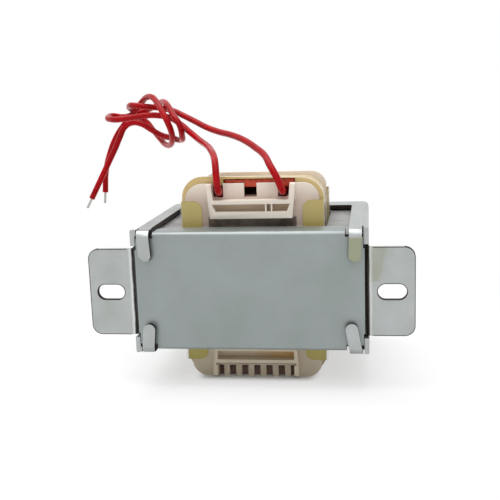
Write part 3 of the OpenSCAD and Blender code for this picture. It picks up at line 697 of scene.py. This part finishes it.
def merged_copy(node, name):
    """A copy of a solid, its loose triangles merged into whole faces."""
    piece = bpy.data.objects.new(name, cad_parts[node].data.copy())
    bpy.context.scene.collection.objects.link(piece)
    select_only(piece)
    bpy.ops.object.mode_set(mode="EDIT")
    bpy.ops.mesh.select_all(action="SELECT")
    bpy.ops.mesh.remove_doubles(threshold=0.002 * MM)
    bpy.ops.mesh.dissolve_limited(angle_limit=math.radians(0.5))
    bpy.ops.object.mode_set(mode="OBJECT")
    return piece


def select_parts(piece, kind, test):
    """Enters edit mode with only the faces (FACE) or points (VERT) selected that pass the test."""
    select_only(piece)
    bpy.ops.object.mode_set(mode="EDIT")
    bpy.ops.mesh.select_mode(type=kind)
    bpy.ops.mesh.select_all(action="DESELECT")
    bpy.ops.object.mode_set(mode="OBJECT")
    for part in piece.data.polygons if kind == "FACE" else piece.data.vertices:
        part.select = test(part)
    bpy.ops.object.mode_set(mode="EDIT")


def round_edges(piece, radius, segments=2):
    """Rounds a piece's sharp edges; the rounded strips keep the first material, the faces'."""
    select_only(piece)
    bevel = piece.modifiers.new("edges", "BEVEL")
    bevel.width = radius * MM
    bevel.segments = segments
    bevel.limit_method = "ANGLE"
    bevel.angle_limit = math.radians(40)
    bevel.material = 0
    bpy.ops.object.modifier_apply(modifier=bevel.name)
    bpy.ops.object.shade_smooth_by_angle(angle=math.radians(35))
    print(piece.name, "has", len(piece.data.polygons), "faces")


# %% [markdown]
# ### Folded frame
# One sheet, blanked by a press and folded up. Its broad faces are rolled steel; its narrow sides
# were sheared, and show as dark lines round the ears, the slots, the tabs and the opening; at the
# opening the black is also painted shade, the shade of the gap under the flanges. A face belongs to
# a sheared side when it looks along the sheet instead of out of it, so each is found by its place
# and normal.

# %% Folded frame
# Places on the frame in millimetres: outwards from its middle, back from the ears' front (the
# wall's end) and up from its middle (the flanges)
EAR_FROM = 35.5
EAR_FRONT_FROM = 35.4
WALL_FROM = 33
TAB_ROOT_FROM = 26
WALL_END = (3, 3.6)
FLANGE_SPAN = (17, 18.2)


def is_sheared(face):
    """True for a narrow side of the frame's sheet: at an ear, a tab or the flanges' opening."""
    x, y, z = (abs(v) / MM for v in face.center)
    nx, ny, nz = (abs(v) for v in face.normal)
    ear = x > EAR_FROM and ny < 0.3
    wall_end = x > WALL_FROM and WALL_END[0] < y < WALL_END[1] and ny > 0.9
    tab = x < WALL_FROM and face.center[1] < 0 and ny < 0.3
    tab_root = TAB_ROOT_FROM < x < WALL_FROM and y < 4 and nx > 0.6
    in_flange = FLANGE_SPAN[0] < z < FLANGE_SPAN[1] and x < WALL_FROM and y > WALL_END[0]
    # The opening's sides are dark as cut edges, and also as painted shade of the gap under the
    # flanges
    opening = in_flange and nz < 0.3
    return ear or wall_end or tab or tab_root or opening


def is_ear_front(face):
    """True for the flat front of an ear."""
    return abs(face.center[0]) > EAR_FRONT_FROM * MM and face.normal[1] < -0.99


folded_frame = merged_copy("frame", "folded_frame")
finish_piece(folded_frame, "frame_steel", FRAME_STEEL, SHEARED)
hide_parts("frame")
for face in folded_frame.data.polygons:
    face.material_index = 1 if is_sheared(face) else 0

# %% [markdown]
# Varnish also creeps from the sheared sides on to the front of the ears, as a thin dark rim. An
# inset of the ears' fronts gives the rim its own faces; the inset's edge at the bend stays plain.

# %% Varnished rim of the ears
RIM = 0.22
RIM_FROM = 35.8
ROUNDED_FROM = 35.6
select_parts(folded_frame, "FACE", is_ear_front)
bpy.ops.mesh.inset(thickness=RIM * MM, use_boundary=True, use_even_offset=True)
bpy.ops.object.mode_set(mode="OBJECT")
for face in folded_frame.data.polygons:
    if is_ear_front(face) and not face.select and abs(face.center[0]) > RIM_FROM * MM:
        face.material_index = 1
print("sheared and rim faces:", sum(face.material_index for face in folded_frame.data.polygons))
round_edges(folded_frame, 0.14)
# The rounded strips round the ears go dark as well
for face in folded_frame.data.polygons:
    if abs(face.center[0]) > ROUNDED_FROM * MM and 0.15 < abs(face.normal[1]) < 0.97:
        face.material_index = 1

# %% [markdown]
# ### Cover plate
# The plate is a strip of sheet bent over at its top and bottom. Its two ends were sheared, so what
# faces sideways takes the dark edge.

# %% Channel plate
channel_plate = merged_copy("cover_plate", "channel_plate")
finish_piece(channel_plate, "plate_steel", PLATE_STEEL, SHEARED)
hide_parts("cover_plate")
for face in channel_plate.data.polygons:
    face.material_index = 1 if abs(face.normal[0]) > 0.7 else 0
round_edges(channel_plate, 0.12)

# %% [markdown]
# ### Bobbin and tape
# A moulding's edges are rounder than a sheet's, because the tool is milled. Tape folds tightly over
# the coil, so its edges are the sharpest of the three.

# %% Moulded bobbin
moulded_bobbin = merged_copy("bobbin", "moulded_bobbin")
finish_piece(moulded_bobbin, "bobbin_nylon", NYLON)
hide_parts("bobbin")
round_edges(moulded_bobbin, 0.16, segments=3)

# %% Tape
yellow_tape = merged_copy("outer_tape", "yellow_tape")
finish_piece(yellow_tape, "polyester_tape", TAPE)
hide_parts("outer_tape")
round_edges(yellow_tape, 0.06)

# %% [markdown]
# ### Outer winding
# The winding shows through the slots and above the flange as rows of round wire. One turn is a
# rectangle whose corners are rounded, given a round section; an array sets turn beside turn. A
# slightly smaller copy of the winding's solid fills the space behind them.

# %% Outer winding
WIRE_D = 0.8
CORNER_TOP = 4.5
CORNER_BOTTOM = 6.3
FILLING_INSET = 0.3
low, high = (Vector(corner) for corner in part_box("secondary_winding"))
turns = int((high.y - low.y) / (WIRE_D * MM))
half = (high - low) / 2
bpy.ops.object.select_all(action="DESELECT")
bpy.ops.mesh.primitive_plane_add(
    size=2, location=(0, low.y + WIRE_D * MM / 2, (low.z + high.z) / 2),
    rotation=(math.radians(90), 0, 0))
turn = bpy.context.object
turn.name = "outer_winding"
turn.scale = (half.x - WIRE_D * MM / 2, half.z - WIRE_D * MM / 2, 1)
bpy.ops.object.transform_apply(location=True, rotation=True, scale=True)
middle_z = (low.z + high.z) / 2
for upper, radius in ((True, CORNER_TOP), (False, CORNER_BOTTOM)):
    select_parts(turn, "VERT", lambda point: (point.co.z > middle_z) == upper)
    bpy.ops.mesh.bevel(offset=(radius - WIRE_D / 2) * MM, segments=6, affect="VERTICES")
    bpy.ops.object.mode_set(mode="OBJECT")
bpy.ops.object.mode_set(mode="EDIT")
bpy.ops.mesh.select_all(action="SELECT")
bpy.ops.mesh.delete(type="ONLY_FACE")
bpy.ops.object.mode_set(mode="OBJECT")
bpy.ops.object.convert(target="CURVE")
turn = bpy.context.object
turn.data.bevel_depth = WIRE_D * MM / 2
turn.data.bevel_resolution = 1
bpy.ops.object.convert(target="MESH")
turn = bpy.context.object
row = turn.modifiers.new("turns", "ARRAY")
row.count = turns
row.use_relative_offset = False
row.use_constant_offset = True
row.constant_offset_displace = (0, WIRE_D * MM, 0)
bpy.ops.object.modifier_apply(modifier=row.name)
merged_copy("secondary_winding", "winding_filling")
bpy.ops.object.mode_set(mode="EDIT")
bpy.ops.mesh.select_all(action="SELECT")
bpy.ops.transform.shrink_fatten(value=-FILLING_INSET * MM)
bpy.ops.object.mode_set(mode="OBJECT")
turn.select_set(True)
bpy.context.view_layer.objects.active = turn
bpy.ops.object.join()
bpy.ops.object.shade_smooth_by_angle(angle=math.radians(50))
finish_piece(turn, "winding_wire", ENAMEL)
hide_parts("secondary_winding")
print("outer winding:", turns, "turns,", len(turn.data.polygons), "faces")

# %% [markdown]
# ### Pressboard strip
# Between the winding and the terminal slots stands a strip of brown pressboard, which keeps the
# wire off the terminals. Its dark brown fills the slots, partly as painted shade for the shade
# under the coil. It is a thin block with rounded edges, darker at its top as painted shade under
# the ledge.

# %% Pressboard strip
STRIP_LOW = (-12.9, 13.88, -29.65)
STRIP_HIGH = (12.9, 13.98, -25.2)
SHADE_BAND = (-28, -26.2)


def pressboard(name):
    """Pressboard soaked in varnish: matt dark brown, upright fibres, nearly black at the top as
    painted shade under the ledge.
    """
    made, nodes, shader = base_material(name)
    place = add(nodes, "ShaderNodeTexCoord").outputs["Object"]
    drawn = add(nodes, "ShaderNodeMapping",
                {"Vector": place, "Scale": (per_mm(0.7), per_mm(0.7), per_mm(5))})
    fibre = add(nodes, "ShaderNodeTexNoise",
                {"Vector": drawn.outputs[0], "Scale": 1.0, "Detail": 3.0})
    brown = add(nodes, "ShaderNodeMix",
                {0: fibre.outputs[0], 6: linear("#5a3d35"), 7: linear("#866a5c")}, data_type="RGBA")
    axis = add(nodes, "ShaderNodeSeparateXYZ", {"Vector": place})
    shade = add(nodes, "ShaderNodeMapRange",
                {0: axis.outputs["Z"], 1: SHADE_BAND[0] * MM, 2: SHADE_BAND[1] * MM, 4: 0.85},
                interpolation_type="SMOOTHSTEP")
    colour = add(nodes, "ShaderNodeMix",
                 {0: shade.outputs[0], 6: brown.outputs[2], 7: linear("#2a150d")}, data_type="RGBA")
    shader.inputs["Roughness"].default_value = 0.6
    nodes.links.new(colour.outputs[2], shader.inputs["Base Color"])
    return made


# The strip's dark brown in the slots is partly painted shade, the shade under the coil
bpy.ops.object.select_all(action="DESELECT")
low, high = Vector(STRIP_LOW) * MM, Vector(STRIP_HIGH) * MM
bpy.ops.mesh.primitive_cube_add(size=1, location=(low + high) / 2)
strip = bpy.context.object
strip.name = "pressboard_strip"
strip.scale = high - low
bpy.ops.object.transform_apply(location=True, rotation=True, scale=True)
finish_piece(strip, "splice_sleeve", pressboard("pressboard"))
round_edges(strip, 0.03, segments=1)

# %% [markdown]
# ### Splices
# Each lead is soldered to a winding end under a sleeve, and a strip of red-brown crepe wraps both
# sleeves where they cross the top of the coil. The sleeves are round tubes along a curve. The wrap
# starts as a block, is rounded by subdivision and crumpled by a displacement.

# %% Sleeves
SLEEVE_D = 2.2
SPLICES = {
    "splice_sleeve_left": [
        (-9.7, 15.5, 27.5), (-9.7, 16.7, 27.5), (-9.5, 17.9, 28.6), (-7.9, 18, 29.6),
        (-5, 17.9, 29.8), (3, 17.8, 29.8),
    ],
    "splice_sleeve_right": [
        (9.4, 15.5, 27.5), (9.4, 16.5, 27.5), (10.6, 17.5, 28.3), (10.6, 16.7, 29.5),
        (7.9, 15.6, 29.7), (-3, 15.5, 29.7),
    ],
}
for node, route in SPLICES.items():
    sleeve = wire(node.replace("splice_sleeve", "varnished_sleeve"), route, SLEEVE_D * MM)
    select_only(sleeve)
    bpy.ops.object.convert(target="MESH")
    sleeve = bpy.context.object
    finish_piece(sleeve, "splice_sleeve", SLEEVING)
    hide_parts(node)

# %% Crepe wrap
WRAP_MIDDLE = (2.2, 15.9, 29.95)
WRAP_SIZE = (21.4, 3.2, 2.4)
CREASE_SIZE = 1.1
CREASE_DEPTH = 0.6
bpy.ops.object.select_all(action="DESELECT")
bpy.ops.mesh.primitive_cube_add(size=1, location=Vector(WRAP_MIDDLE) * MM)
crepe = bpy.context.object
crepe.name = "crepe_wrap"
crepe.scale = Vector(WRAP_SIZE) * MM
bpy.ops.object.transform_apply(location=True, rotation=True, scale=True)
bpy.ops.object.mode_set(mode="EDIT")
bpy.ops.mesh.select_all(action="SELECT")
bpy.ops.mesh.subdivide(number_cuts=6)
bpy.ops.object.mode_set(mode="OBJECT")
soft = crepe.modifiers.new("soft", "SUBSURF")
soft.levels = soft.render_levels = 2
bpy.ops.object.modifier_apply(modifier=soft.name)
crumple = bpy.data.textures.new("crumple", "CLOUDS")
crumple.noise_scale = CREASE_SIZE * MM
creases = crepe.modifiers.new("creases", "DISPLACE")
creases.texture = crumple
creases.texture_coords = "LOCAL"
creases.strength = CREASE_DEPTH * MM
creases.mid_level = 0.6
bpy.ops.object.modifier_apply(modifier=creases.name)
bpy.ops.object.shade_smooth()
finish_piece(crepe, "splice_sleeve", SLEEVING)
print("wrap is", [round(v / MM, 1) for v in crepe.dimensions], "mm")

# %% [markdown]
# ### Tinned ends
# The stripped end of a lead is seven strands of copper, twisted and dipped in tin. One strand is a
# wire along a helix; the others are the same helix, started further round.

# %% Tinned ends
TIP_LENGTH = 4.0
STRAND_D = 0.32
STRAND_PITCH = 0.95
LAY = 7.0
STRANDS = 7
STEPS = 8


def twisted_end(name, route):
    """Seven strands that run on from the end of a route."""
    start = Vector(route[-1])
    ahead = (start - Vector(route[-2])).normalized()
    side = ahead.orthogonal().normalized()
    other = ahead.cross(side)
    strands = []
    for k in range(STRANDS):
        # The last strand is the straight one in the middle
        swing = 0 if k == STRANDS - 1 else STRAND_D * STRAND_PITCH
        points = []
        for step in range(STEPS + 1):
            run = TIP_LENGTH * step / STEPS
            angle = math.tau * (k / (STRANDS - 1) + run / LAY)
            out = side * math.cos(angle) + other * math.sin(angle)
            points.append(start + ahead * run + out * swing)
        strands.append(wire(name, points, STRAND_D * MM))
    bpy.ops.object.select_all(action="DESELECT")
    for strand in strands:
        strand.select_set(True)
    bpy.context.view_layer.objects.active = strands[0]
    bpy.ops.object.convert(target="MESH")
    bpy.ops.object.join()
    tip = bpy.context.object
    finish_piece(tip, "tinned_copper", TIN)
    return tip


for name, route in ROUTES.items():
    twisted_end(name + "_strands", route)
    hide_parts(name + "_tip")

# %% [markdown]
# ## Plain solids
# What is flat, or hidden under other pieces, keeps its solid and takes its own finish.

# %% Plain solids
for node, material in {
    "e_laminations_front": CORE_STEEL, "e_laminations_back": CORE_STEEL,
    "i_laminations_front": CORE_STEEL, "i_laminations_back": CORE_STEEL,
    "primary_winding": ENAMEL, "interwinding_tape": TAPE,
    "window_film_left": FILM, "window_film_right": FILM,
}.items():
    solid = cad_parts[node]
    solid.data.materials.clear()
    solid.data.materials.append(material)

# %% [markdown]
# ## Leads' colour
# The leads get their colour.

# %% Finish the leads
for name, lead in leads.items():
    lead.data.materials.append(PVC)
    route = ROUTES[name]
    spline_length(route) * MM

# %% [markdown]
# ## Finish
# The view layer is brought up to date. The visual model has to stay in the box of the solids.

# %% Finish
bpy.context.view_layer.update()
